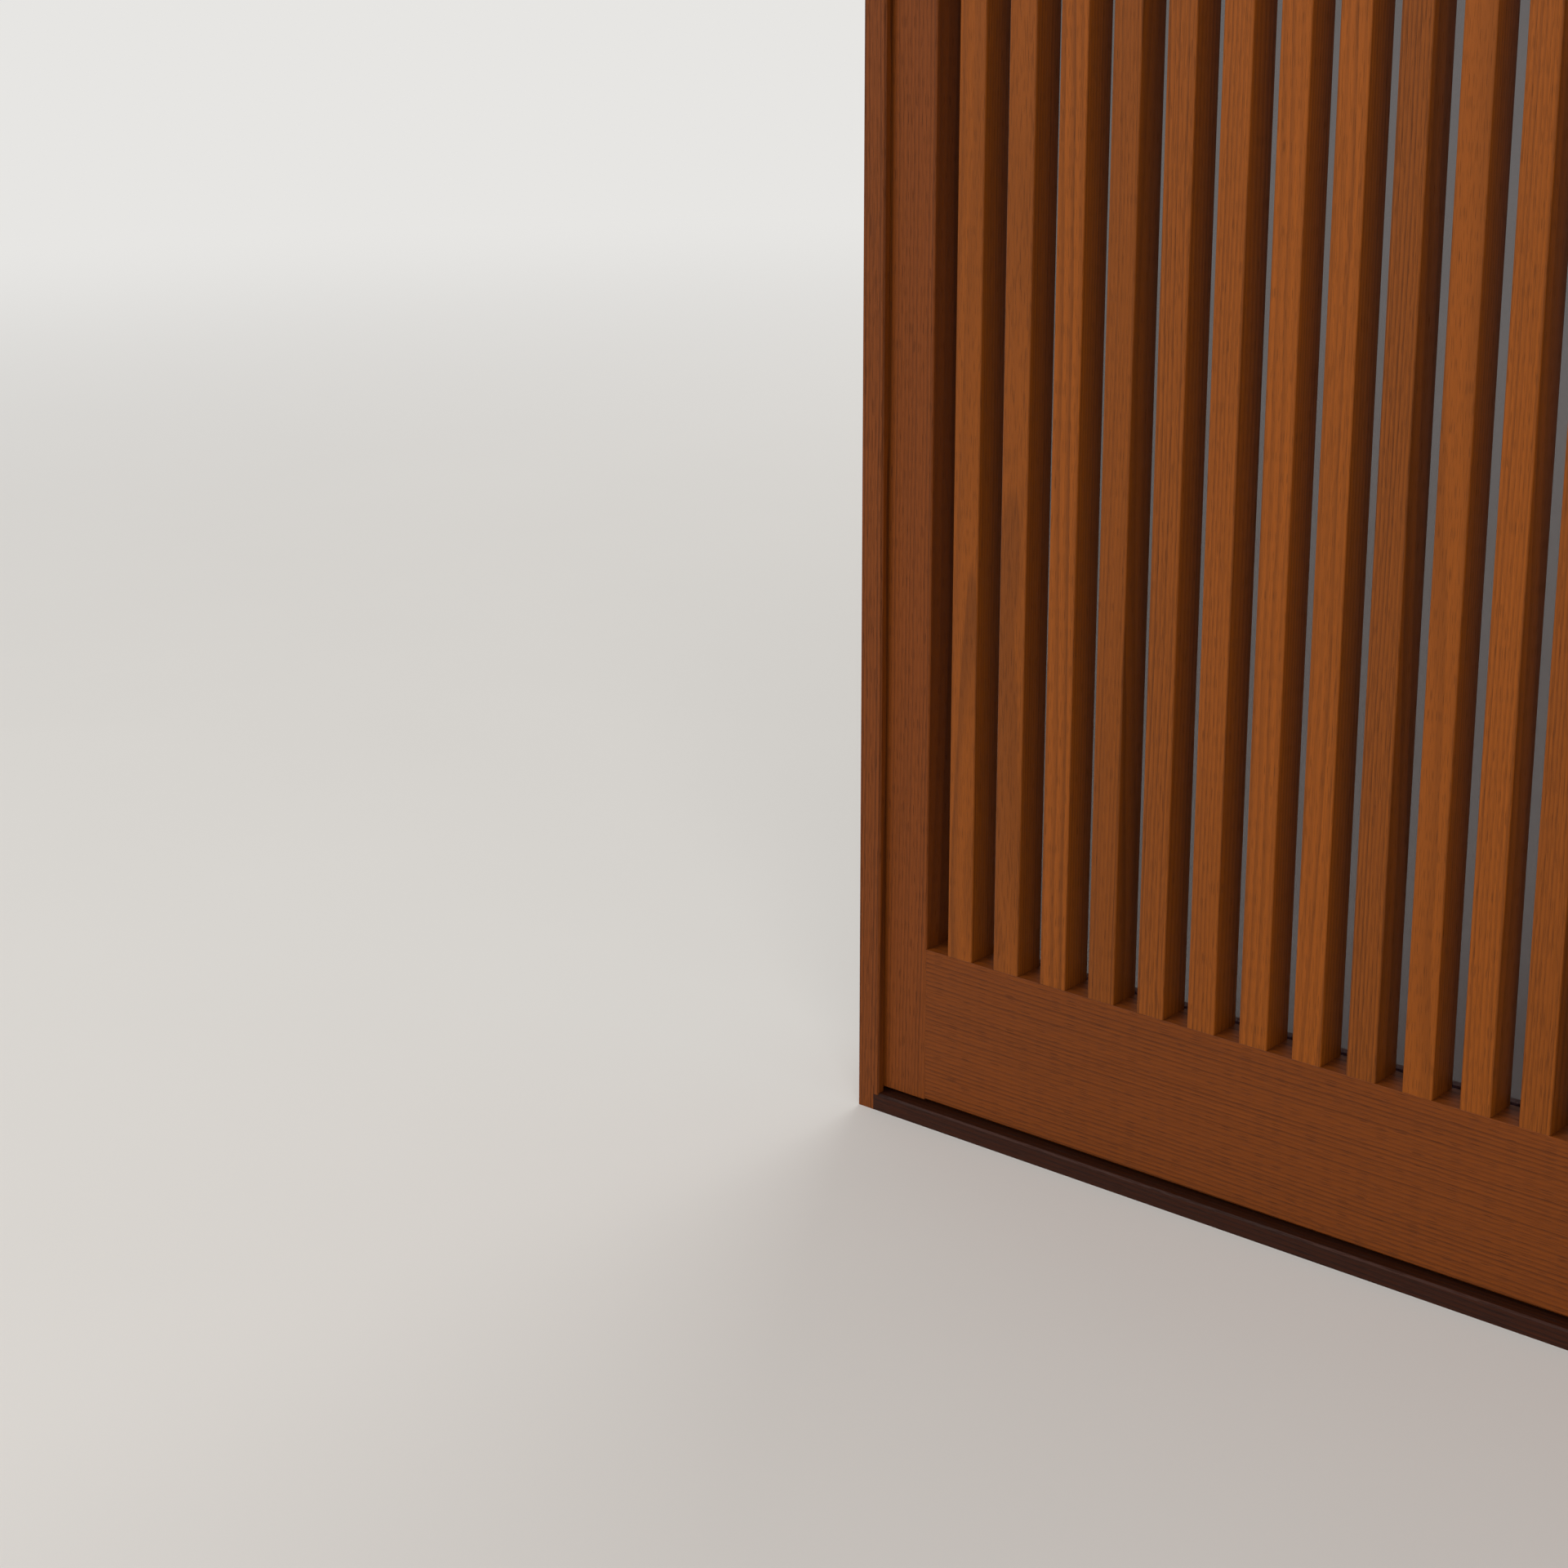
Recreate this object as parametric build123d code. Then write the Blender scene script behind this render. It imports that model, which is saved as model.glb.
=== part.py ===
from build123d import *
import os

# Sliding lattice screen: two glazed leaves that pass each other in one wooden frame.
# Sizes are in millimetres. The origin is the middle of the frame's footprint on the floor, +Z is up,
# and the front is the -Y side. The left leaf runs in the front track.

# Lattice of a leaf
slat_count = 15
slat_width = 24.0
slat_depth = 30.0
slat_chamfer = 1.0
slat_tenon_width = 12.0
slat_tenon_depth = 16.0
slat_tenon_length = 12.0

# Stiles and rails of a leaf
leaf_thickness = 42.0
stile_width = 48.0
bottom_rail_height = 130.0
top_rail_height = 70.0
leaf_chamfer = 1.5
rail_tenon_thickness = 12.0
rail_tenon_length = 36.0
rail_tenon_shoulder = 14.0
tenon_end_gap = 0.5

# Finger pulls, routed in both faces of the outer stile
pull_width = 14.0
pull_length = 70.0
pull_depth = 8.0
pull_height_above_floor = 1000.0

# Glass pane in its grooves
pane_thickness = 4.0
pane_entry = 6.0
pane_side_gap = 1.0
pane_top_gap = 2.0
pane_groove_clearance = 0.3
pane_to_slat_gap = 0.7

# Tongue along the leaf's top, which runs in the head
tongue_thickness = 20.0
tongue_height = 18.0
tongue_side_clearance = 1.0
head_to_shoulder_gap = 9.0

# Frame
frame_width = 1564.0
frame_height = 2000.0
jamb_thickness = 20.0
head_thickness = 22.0
guide_strip_height = 18.0
sill_thickness = 15.0
frame_chamfer = 1.5
housing_depth = 5.0
leaf_inset = 8.0
leaf_to_leaf_gap = 10.0
leaf_entry = 6.0
leaf_entry_clearance = 0.5
leaf_side_clearance = 1.0
leaf_to_sill_gap = 4.5

# Tracks on the sill
track_width = 6.0
track_height = 3.0
track_bevel = 0.8
track_seat_depth = 6.0

# Wheels and their pins
wheel_tread_radius = 12.0
wheel_flange_height = 2.5
wheel_width = 11.0
wheel_to_track_clearance = 0.3
wheel_side_clearance = 0.4
pin_radius = 2.0
pin_running_clearance = 0.05

# Sheave cases in the bottom rail
sheave_inset = 120.0
case_sheet = 1.5
case_side_clearance = 0.5
case_wheel_clearance = 2.0
case_ear_length = 14.0
case_plate_width = 24.0
case_seat_clearance = 0.3

# Screws and fixing holes
frame_screw_radius = 2.0
frame_screw_head_radius = 4.0
frame_screw_length = 50.0
screw_hole_clearance = 0.05
fixing_hole_radius = 2.5
jamb_hole_end_distance = 150.0
long_board_hole_spacing = 900.0

# Widths that follow from the frame's width
frame_inner_width = frame_width - 2 * jamb_thickness
leaf_width = (frame_inner_width + stile_width) / 2 + leaf_entry
lattice_width = leaf_width - 2 * stile_width
slat_gap = (lattice_width - slat_count * slat_width) / (slat_count + 1)
slat_pitch = slat_width + slat_gap
frame_depth = 2 * (leaf_inset + leaf_thickness) + leaf_to_leaf_gap
leaf_y = (leaf_thickness + leaf_to_leaf_gap) / 2

# Heights that follow from the frame, first above the floor and then above the leaf's bottom edge
groove_top_z = frame_height - head_thickness
soffit_z = groove_top_z - guide_strip_height
leaf_bottom_z = sill_thickness + leaf_to_sill_gap
wheel_axis_z = sill_thickness + track_height + wheel_to_track_clearance + wheel_tread_radius
shoulder_z = soffit_z - head_to_shoulder_gap - leaf_bottom_z
top_rail_z = shoulder_z - top_rail_height
lattice_height = top_rail_z - bottom_rail_height
axis_z = wheel_axis_z - leaf_bottom_z
pull_z = pull_height_above_floor - leaf_bottom_z

# Places through the leaf's thickness, from its middle plane
face_y = -leaf_thickness / 2
slat_y = face_y + slat_depth / 2
pane_y = face_y + slat_depth + pane_to_slat_gap + pane_thickness / 2
pane_groove_width = pane_thickness + 2 * pane_groove_clearance
tenon_y = slat_y

# Sheave case, from the wheel that it holds
flange_radius = wheel_tread_radius + wheel_flange_height
case_inner_width = wheel_width + 2 * case_side_clearance
case_inner_length = 2 * (flange_radius + case_wheel_clearance)
case_inner_height = axis_z + flange_radius + case_wheel_clearance
case_width = case_inner_width + 2 * case_sheet
case_length = case_inner_length + 2 * case_sheet
case_height = case_inner_height + case_sheet
case_plate_length = case_length + 2 * case_ear_length


def span(x_limits, y_limits, z_limits):
    """A block between two limits along each axis."""
    limits = (x_limits, y_limits, z_limits)
    middle = [(low + high) / 2 for low, high in limits]
    sizes = [high - low for low, high in limits]
    return Pos(*middle) * Box(*sizes)


def around(middle, size):
    """The two limits of a size centred on a middle."""
    return (middle - size / 2, middle + size / 2)


def facing(shape, side):
    """The shape as it is for the left side (-1), mirrored for the right side (+1)."""
    return shape if side < 0 else mirror(shape, about=Plane.YZ)


def arris_cutter(size, z_limits):
    """A square bar on its edge, which planes a 45 degree chamfer off an arris at x = 0, y = 0."""
    bar = extrude(Rotation(0, 0, 45) * Rectangle(size * 2**0.5, size * 2**0.5), z_limits[1] - z_limits[0])
    return Pos(0, 0, z_limits[0]) * bar


def frame_screw(grow=0.0):
    """A countersunk screw along +Z with its head's face at z = 0, or its hole if grown."""
    shank = frame_screw_radius + grow
    head = frame_screw_head_radius + grow
    end = frame_screw_length + grow
    outline = Polyline((0, 0), (head, 0), (shank, head - shank), (shank, end), (0, end), close=True)
    return revolve(make_face(Plane.XZ * outline), Axis.Z)


def rail_tenon_limits(rail_height, count):
    """Where the tenons of a rail start and end along its height."""
    tenon_height = (rail_height - (count + 1) * rail_tenon_shoulder) / count
    step = tenon_height + rail_tenon_shoulder
    lows = [rail_tenon_shoulder + step * index for index in range(count)]
    return [(low, low + tenon_height) for low in lows]


def stile_tenon_limits():
    """The heights in a stile of the tenons of both rails."""
    bottom = rail_tenon_limits(bottom_rail_height, 2)
    top = [(low + top_rail_z, high + top_rail_z) for low, high in rail_tenon_limits(top_rail_height, 1)]
    return bottom + top


def slat():
    """One upright of the lattice, standing on the bottom rail's top edge at z = 0."""
    outline = Rectangle(slat_width, slat_depth)
    outline = chamfer(outline.vertices().sort_by(Axis.Y)[:2], slat_chamfer)
    body = extrude(outline, lattice_height)
    tenon_length = lattice_height + 2 * slat_tenon_length
    tenons = extrude(Rectangle(slat_tenon_width, slat_tenon_depth), tenon_length)
    return body + Pos(0, 0, -slat_tenon_length) * tenons


def finger_pull():
    """The round-ended recess of a finger pull, sunk from y = 0 towards +Y."""
    outline = Rotation(0, 0, 90) * SlotOverall(pull_length, pull_width)
    return extrude(Plane.XZ * outline, -pull_depth)


def stile(with_pulls):
    """A stile with its outer edge on the -X side, centred on x = 0, with its foot at z = 0."""
    outline = Rectangle(stile_width, leaf_thickness)
    outline = chamfer(outline.vertices().sort_by(Axis.X)[:2], leaf_chamfer)
    body = extrude(outline, shoulder_z)
    body += Pos(0, 0, shoulder_z) * extrude(Rectangle(stile_width, tongue_thickness), tongue_height)
    inner_x = stile_width / 2
    mortise_x = (inner_x - rail_tenon_length - tenon_end_gap, inner_x)
    for limits in stile_tenon_limits():
        body -= span(mortise_x, around(tenon_y, rail_tenon_thickness), limits)
    groove_z = (bottom_rail_height - pane_entry, top_rail_z + pane_entry)
    body -= span((inner_x - pane_entry, inner_x), around(pane_y, pane_groove_width), groove_z)
    body -= Pos(inner_x, face_y, 0) * arris_cutter(slat_chamfer, (bottom_rail_height, top_rail_z))
    if with_pulls:
        pull_x = leaf_entry / 2
        body -= Pos(pull_x, face_y, pull_z) * finger_pull()
        body -= Pos(pull_x, -face_y, pull_z) * Rotation(0, 0, 180) * finger_pull()
    return body


def slat_positions():
    """The middle of each slat across the leaf."""
    first = -(slat_count - 1) * slat_pitch / 2
    return [first + slat_pitch * index for index in range(slat_count)]


def slat_mortises(edge_z, depth):
    """The mortises of all slats in a rail, from its edge to a depth (negative downwards)."""
    z_limits = sorted((edge_z, edge_z + depth))
    y_limits = around(slat_y, slat_tenon_depth)
    return [span(around(x, slat_tenon_width), y_limits, z_limits) for x in slat_positions()]


def rail_tenons(rail_height, count):
    """The tenons on both ends of a rail, as bars that run through it."""
    x_limits = around(0, lattice_width + 2 * rail_tenon_length)
    y_limits = around(tenon_y, rail_tenon_thickness)
    return [span(x_limits, y_limits, limits) for limits in rail_tenon_limits(rail_height, count)]


def sheave_positions():
    """The middle of each wheel across the leaf."""
    reach = leaf_width / 2 - sheave_inset
    return {"left": -reach, "right": reach}


def sheave_seat():
    """The mortise and the shallow plate seat that take one sheave case."""
    x_limits = around(0, case_length + 2 * case_seat_clearance)
    y_limits = around(0, case_width + 2 * case_seat_clearance)
    mortise = span(x_limits, y_limits, (0, case_height + case_seat_clearance))
    plate_x = around(0, case_plate_length + 2 * case_seat_clearance)
    plate_y = around(0, case_plate_width + 2 * case_seat_clearance)
    return mortise + span(plate_x, plate_y, (0, case_sheet))


def rail_section(rail_height):
    """The plain cross-section of a rail, standing on z = 0."""
    return Pos(0, rail_height / 2) * Rectangle(leaf_thickness, rail_height)


def rail_bar(section):
    """A rail as long as the lattice is wide, from a section drawn as (y, z)."""
    return extrude(Plane.YZ * section, lattice_width / 2, both=True)


def bottom_rail():
    """The tall bottom rail, standing on z = 0."""
    section = rail_section(bottom_rail_height)
    section = chamfer(section.vertices().sort_by(Axis.Y)[:2], leaf_chamfer)
    body = rail_bar(section)
    for tenon in rail_tenons(bottom_rail_height, 2):
        body += tenon
    groove_z = (bottom_rail_height - pane_entry, bottom_rail_height)
    body -= span(around(0, lattice_width), around(pane_y, pane_groove_width), groove_z)
    body -= slat_mortises(bottom_rail_height, -(slat_tenon_length + tenon_end_gap))
    for x in sheave_positions().values():
        body -= Pos(x, 0, 0) * sheave_seat()
    return body


def top_rail():
    """The top rail with its tongue, its lower edge at z = 0."""
    tongue = Pos(0, top_rail_height + tongue_height / 2) * Rectangle(tongue_thickness, tongue_height)
    body = rail_bar(rail_section(top_rail_height) + tongue)
    for tenon in rail_tenons(top_rail_height, 1):
        body += tenon
    body -= span(around(0, lattice_width), around(pane_y, pane_groove_width), (0, pane_entry))
    body -= slat_mortises(0, slat_tenon_length + tenon_end_gap)
    return body


def pane():
    """The glass, standing on the bottom of its groove at z = 0."""
    width = lattice_width + 2 * (pane_entry - pane_side_gap)
    height = lattice_height + 2 * pane_entry - pane_top_gap
    return extrude(Rectangle(width, pane_thickness), height)


def wheel():
    """A wheel turning about the Y axis through the origin, with a sloping flange on each side of the track."""
    half_width = wheel_width / 2
    bore = pin_radius + pin_running_clearance
    groove = track_width / 2 + wheel_side_clearance
    outline = Polyline(
        (bore, -half_width),
        (flange_radius, -half_width),
        (wheel_tread_radius, -groove),
        (wheel_tread_radius, groove),
        (flange_radius, half_width),
        (bore, half_width),
        close=True,
    )
    return revolve(make_face(outline), Axis.Y)


def wheel_pin():
    """The pin of a wheel along Y, its ends flush with the case's walls."""
    return Rotation(90, 0, 0) * Cylinder(pin_radius, case_width)


def sheave_case():
    """A pressed steel box, open below, with an ear at each end; its plate's face is at z = 0."""
    box = extrude(Rectangle(case_length, case_width), case_height)
    plate = extrude(Rectangle(case_plate_length, case_plate_width), case_sheet)
    hollow = extrude(Rectangle(case_inner_length, case_inner_width), case_inner_height)
    return box + plate - hollow - Pos(0, 0, axis_z) * wheel_pin()


def leaf_pieces(name, outer_side):
    """Every piece of a leaf by name, about the middle of the leaf's bottom edge."""
    stile_x = (leaf_width - stile_width) / 2
    pieces = {
        f"{name}_outer_stile": Pos(outer_side * stile_x, 0, 0) * facing(stile(True), outer_side),
        f"{name}_meeting_stile": Pos(-outer_side * stile_x, 0, 0) * facing(stile(False), -outer_side),
        f"{name}_bottom_rail": bottom_rail(),
        f"{name}_top_rail": Pos(0, 0, top_rail_z) * top_rail(),
        f"{name}_pane": Pos(0, pane_y, bottom_rail_height - pane_entry) * pane(),
    }
    one_slat = slat()
    for number, x in enumerate(slat_positions(), start=1):
        pieces[f"{name}_slat_{number:02d}"] = Pos(x, slat_y, bottom_rail_height) * one_slat
    places = sheave_positions()
    for side, x in places.items():
        pieces[f"{name}_{side}_sheave_case"] = Pos(x, 0, 0) * sheave_case()
        pieces[f"{name}_{side}_wheel"] = Pos(x, 0, axis_z) * wheel()
    pins = [Pos(x, 0, axis_z) * wheel_pin() for x in places.values()]
    pieces[f"{name}_wheel_pins"] = Compound(pins)
    return pieces


def fixing_hole(thickness):
    """A hole along Z through a board of a thickness, centred on the middle of the board."""
    return Cylinder(fixing_hole_radius, thickness)


def sill_section():
    """The sill's cross-section as (y, z), with the two slots that seat the tracks."""
    section = Rectangle(frame_depth, sill_thickness)
    section = chamfer(section.vertices().sort_by(Axis.Y)[-2:], frame_chamfer)
    slot = Rectangle(track_width, track_seat_depth)
    slot_z = (sill_thickness - track_seat_depth) / 2
    return section - Pos(-leaf_y, slot_z) * slot - Pos(leaf_y, slot_z) * slot


def long_board(section):
    """A board from jamb to jamb, let into both, from its cross-section."""
    return extrude(Plane.YZ * section, frame_inner_width / 2 + housing_depth, both=True)


def frame_screw_places():
    """The place and direction of each screw that joins a jamb to the head or the sill."""
    heights = (sill_thickness / 2, frame_height - head_thickness / 2)
    outer_x = frame_width / 2
    return [Pos(side * outer_x, 0, z) * Rotation(0, -90 * side, 0) for side in (-1, 1) for z in heights]


def frame_screw_holes():
    """The holes of the frame's screws, at their places."""
    hole = frame_screw(screw_hole_clearance)
    return [place * hole for place in frame_screw_places()]


def head_fixing_holes():
    """The holes up through the head and its middle strip, for fixing to a lintel."""
    thickness = head_thickness + guide_strip_height
    middle_z = frame_height - thickness / 2
    return [Pos(x, 0, middle_z) * fixing_hole(thickness) for x in around(0, long_board_hole_spacing)]


def head():
    """The head board, drilled for its screws and for fixing to a lintel."""
    middle_z = frame_height - head_thickness / 2
    body = Pos(0, 0, middle_z) * long_board(Rectangle(frame_depth, head_thickness))
    return body - frame_screw_holes() - head_fixing_holes()


def guide_strips():
    """The three strips under the head; the leaves' tongues run in the two grooves between them."""
    section = Rectangle(frame_depth, guide_strip_height)
    section = chamfer(section.vertices().sort_by(Axis.Y)[:2], frame_chamfer)
    groove = Rectangle(tongue_thickness + 2 * tongue_side_clearance, guide_strip_height)
    section -= [Pos(-leaf_y, 0) * groove, Pos(leaf_y, 0) * groove]
    middle_z = groove_top_z - guide_strip_height / 2
    strips = Pos(0, 0, middle_z) * long_board(section) - head_fixing_holes()
    names = ("front_guide_strip", "middle_guide_strip", "rear_guide_strip")
    return dict(zip(names, strips.solids().sort_by(Axis.Y)))


def sill():
    """The threshold board, drilled for its screws and for fixing to the floor."""
    middle_z = sill_thickness / 2
    body = Pos(0, 0, middle_z) * long_board(sill_section())
    for x in around(0, long_board_hole_spacing):
        body -= Pos(x, 0, middle_z) * fixing_hole(sill_thickness)
    return body - frame_screw_holes()


def left_jamb():
    """The left jamb, grooved for the front leaf's edge and housed for head and sill."""
    outer_x = -frame_width / 2
    inner_x = outer_x + jamb_thickness
    front_y = -frame_depth / 2
    body = span((outer_x, inner_x), around(0, frame_depth), (0, frame_height))
    groove_x = (inner_x - leaf_entry - leaf_entry_clearance, inner_x)
    groove_width = leaf_thickness + 2 * leaf_side_clearance
    body -= span(groove_x, around(-leaf_y, groove_width), (sill_thickness, soffit_z))
    tongue_groove = tongue_thickness + 2 * tongue_side_clearance
    body -= span(groove_x, around(-leaf_y, tongue_groove), (soffit_z, groove_top_z))
    for y in (front_y, -front_y):
        body -= Pos(inner_x, y, 0) * arris_cutter(frame_chamfer, (sill_thickness, soffit_z))
    middle_x = outer_x + jamb_thickness / 2
    for z in (jamb_hole_end_distance, frame_height - jamb_hole_end_distance):
        body -= Pos(middle_x, 0, z) * Rotation(0, 90, 0) * fixing_hole(jamb_thickness)
    return body - frame_screw_holes() - long_board_ends()


def long_board_ends():
    """The whole outlines of head, guide strips and sill, which the jambs are housed for."""
    head_height = head_thickness + guide_strip_height
    head_end = chamfer(Rectangle(frame_depth, head_height).vertices().sort_by(Axis.Y)[:2], frame_chamfer)
    sill_end = chamfer(Rectangle(frame_depth, sill_thickness).vertices().sort_by(Axis.Y)[-2:], frame_chamfer)
    head_place = Pos(0, 0, frame_height - head_height / 2)
    sill_place = Pos(0, 0, sill_thickness / 2)
    return [head_place * long_board(head_end), sill_place * long_board(sill_end)]


def track():
    """A track strip between the jambs, let into the sill, with a bevelled crown above it."""
    section = Rectangle(track_width, track_seat_depth + track_height)
    section = chamfer(section.vertices().sort_by(Axis.Y)[-2:], track_bevel)
    middle_z = sill_thickness + (track_height - track_seat_depth) / 2
    return Pos(0, 0, middle_z) * extrude(Plane.YZ * section, frame_inner_width / 2, both=True)


def frame_pieces():
    """Every piece of the frame by name."""
    jamb = left_jamb()
    return {
        "left_jamb": jamb,
        "right_jamb": Rotation(0, 0, 180) * jamb,
        "head": head(),
        **guide_strips(),
        "sill": sill(),
        "front_track": Pos(0, -leaf_y, 0) * track(),
        "rear_track": Pos(0, leaf_y, 0) * track(),
        "frame_screws": Compound([place * frame_screw() for place in frame_screw_places()]),
    }


def screen_pieces():
    """Every piece of the screen by name, closed."""
    leaf_x = (frame_inner_width - leaf_width) / 2 + leaf_entry
    pieces = frame_pieces()
    for name, side in (("front", -1), ("rear", 1)):
        place = Pos(side * leaf_x, side * leaf_y, leaf_bottom_z)
        pieces.update({piece: place * shape for piece, shape in leaf_pieces(name, side).items()})
    return pieces


os.makedirs("parts", exist_ok=True)
for piece_name, piece_shape in screen_pieces().items():
    export_step(piece_shape, f"parts/{piece_name}.step")
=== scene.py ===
"""Sliding lattice screen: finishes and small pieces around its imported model.

Everything is in metres, in the model's own frame: the origin is the middle of its footprint, +Z is
up and the front is the -Y side. The front leaf stands on the -X side.
"""

import math

import bmesh
import bpy
import numpy as np
from mathutils import Matrix, Vector


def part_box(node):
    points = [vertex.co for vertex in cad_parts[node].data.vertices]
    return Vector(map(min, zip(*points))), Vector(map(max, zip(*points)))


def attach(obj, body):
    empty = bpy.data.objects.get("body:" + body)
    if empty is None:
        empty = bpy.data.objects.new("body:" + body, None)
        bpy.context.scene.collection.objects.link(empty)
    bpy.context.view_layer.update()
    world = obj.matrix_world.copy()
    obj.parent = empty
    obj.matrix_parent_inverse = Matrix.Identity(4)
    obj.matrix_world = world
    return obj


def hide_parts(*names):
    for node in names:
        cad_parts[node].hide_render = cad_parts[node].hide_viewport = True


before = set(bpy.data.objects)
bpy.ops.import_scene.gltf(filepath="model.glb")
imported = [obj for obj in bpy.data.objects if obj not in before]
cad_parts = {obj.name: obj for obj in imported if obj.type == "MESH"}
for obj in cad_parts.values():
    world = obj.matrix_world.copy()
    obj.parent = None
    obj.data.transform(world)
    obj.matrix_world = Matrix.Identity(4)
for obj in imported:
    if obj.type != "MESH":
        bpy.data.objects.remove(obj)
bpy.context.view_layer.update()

bl_info = {
    "name": "Sliding lattice screen",
    "version": (1, 0, 0),
    "blender": (4, 5, 0),
    "location": "3D View > Sidebar > Screen",
    "description": "Dresses sliding lattice screens in stained wood, smoked glass and brass",
    "category": "Object",
}

LEAVES = ("front", "rear")
SIDES = ("left", "right")

# Each lamp's place, the point that it faces, and its width
LAMPS = {
    "key": ((-3.2, -4.6, 3.6), (-0.4, 0.0, 0.9), 3.2),
    "fill": ((3.3, -4.7, 3.2), (0.0, 0.0, 0.9), 3.0),
    "back": ((-1.6, 4.2, 3.4), (-0.2, 1.2, 0.0), 3.0),
}


# Sizes and colours that a user may change


def colour(name, description, default):
    """A colour property in linear light."""
    return bpy.props.FloatVectorProperty(
        name=name, description=description, default=default, subtype="COLOR", size=3, min=0, max=1
    )


def number(name, description, default, **kind):
    """A property that holds one number, with the unit, limits or subtype that it is given."""
    return bpy.props.FloatProperty(name=name, description=description, default=default, **kind)


def length(name, description, default):
    """A length property in metres."""
    return number(name, description, default, unit="LENGTH", min=0.0, precision=5)


def amount(name, description, default, highest=1.0):
    """A plain number from nothing to a highest value."""
    return number(name, description, default, min=0.0, max=highest)


def power(name, description, default):
    """A lamp's power in watts."""
    return number(name, description, default, unit="POWER", min=0.0)


def angle(name, description, degrees):
    """An angle property with its default in degrees."""
    return number(name, description, math.radians(degrees), subtype="ANGLE")


class ScreenWood(bpy.types.PropertyGroup):
    """Colours of the stained wood, and how the boards grew and were planed."""

    slat_colour: colour("Slats", "Stain on the upright slats", (0.190, 0.048, 0.0036))
    leaf_colour: colour("Leaf frames", "Stain on the stiles and rails", (0.138, 0.0320, 0.0028))
    frame_colour: colour("Frame", "Stain on jambs, head and guide strips", (0.132, 0.0310, 0.0028))
    # The sill's colour is partly painted shade: darker than a stain alone, to stand for the shadow
    # beneath the leaves
    sill_colour_and_shade: colour("Sill", "Darker stain on the threshold", (0.027, 0.0058, 0.0014))
    ring_width: length("Growth ring", "Distance from one growth ring to the next", 0.0032)
    front_arris: length("Front arris", "Radius on the two front edges of a slat", 0.0014)
    rear_arris: length("Rear arris", "Radius on the two rear edges of a slat", 0.0004)
    wear: amount("Edge wear", "How much lighter the rubbed edges are", 0.5)
    gloss: amount("Gloss", "How strongly the stained wood mirrors its surroundings", 0.16)


class ScreenHardware(bpy.types.PropertyGroup):
    """Glass, tracks, wheels and screws."""

    glass_colour: colour("Glass", "Body colour of the smoked glass", (0.070, 0.036, 0.047))
    glass_cover: amount("Glass density", "Share of the light that each face holds back", 0.62)
    brass_colour: colour("Tracks", "Brass of the two tracks", (0.62, 0.42, 0.16))
    zinc_colour: colour("Sheet steel", "Zinc plating of the sheave cases", (0.54, 0.55, 0.56))
    screw_colour: colour("Screws", "Plated steel of screws and pins", (0.50, 0.46, 0.38))
    wheel_colour: colour("Wheels", "Nylon of the wheels", (0.62, 0.59, 0.50))
    flange_height: length("Flange", "How far a wheel's flanges stand past its tread", 0.0025)
    groove_width: length("Groove", "Width of a wheel's tread between its flanges", 0.0068)
    bore_radius: length("Bore", "Radius of the hole for a wheel's pin", 0.00205)
    web_recess: length("Web recess", "How far a wheel's web lies behind its rim", 0.0024)
    hub_radius: length("Hub radius", "Radius of the boss around a wheel's pin", 0.0048)
    rim_thickness: length("Rim thickness", "Thickness of a wheel's rim under its tread", 0.0026)
    wheel_rounding: length("Wheel rounding", "Radius on a wheel's edges", 0.0005)
    frame_screw_head: length("Frame screw head", "Radius of a frame screw's head", 0.004)
    frame_screw_shank: length("Frame screw shank", "Radius of a frame screw's shank", 0.002)
    frame_screw_length: length("Frame screw length", "Length of a frame screw with its head", 0.05)
    flat_crown: length("Flat head", "How far a countersunk screw's head is domed", 0.0003)
    recess_depth: length("Recess depth", "Depth of the cross in a countersunk screw's head", 0.0013)
    case_screw_head: length("Case screw head", "Radius of a case screw's head", 0.003)
    case_screw_shank: length("Case screw shank", "Radius of a case screw's shank", 0.0015)
    case_screw_length: length("Case screw length", "Length of a case screw under its head", 0.014)
    case_screw_inset: length("Case screw inset", "From a case's end to its screw's middle", 0.007)
    round_crown: length("Round head", "How far a round-headed screw's head is domed", 0.0013)
    round_recess: amount("Round recess", "A round head's cross, as a share of its dome", 0.65)
    thread_depth: length("Thread depth", "From the crest to the root of a screw's thread", 0.0005)
    thread_pitch: length("Thread pitch", "Distance from one thread to the next", 0.0018)


class ScreenStage(bpy.types.PropertyGroup):
    """Floor, lamps and camera."""

    floor_colour: colour("Floor", "Plain pale floor", (0.72, 0.70, 0.67))
    sky_colour: colour("Backdrop", "Seen past the floor and in reflections", (0.80, 0.79, 0.77))
    sky_strength: amount("Surrounding light", "Even light from all around", 0.50, 10.0)
    key_power: power("Key lamp", "Large soft lamp at the left of the front", 205.0)
    fill_power: power("Fill lamp", "Soft lamp at the right of the front", 115.0)
    back_power: power("Back lamp", "Soft lamp behind the screen", 80.0)
    lens: number("Lens", "Focal length for a 36 mm sensor", 66.5, unit="CAMERA", min=1.0)
    shift: number("Shift", "Vertical shift of the lens, as a share of the picture", -0.10)
    eye: bpy.props.FloatVectorProperty(
        name="Eye",
        description="Place of the camera",
        default=(0.606, -1.777, 1.003),
        subtype="TRANSLATION",
    )
    yaw: angle("Yaw", "Turn to the left of straight towards +Y", 40.46)
    pitch: angle("Pitch", "Tilt down from level", 15.05)
    roll: angle("Roll", "Turn about the line of sight", -0.10)


# Shader maths as Python expressions


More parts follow.
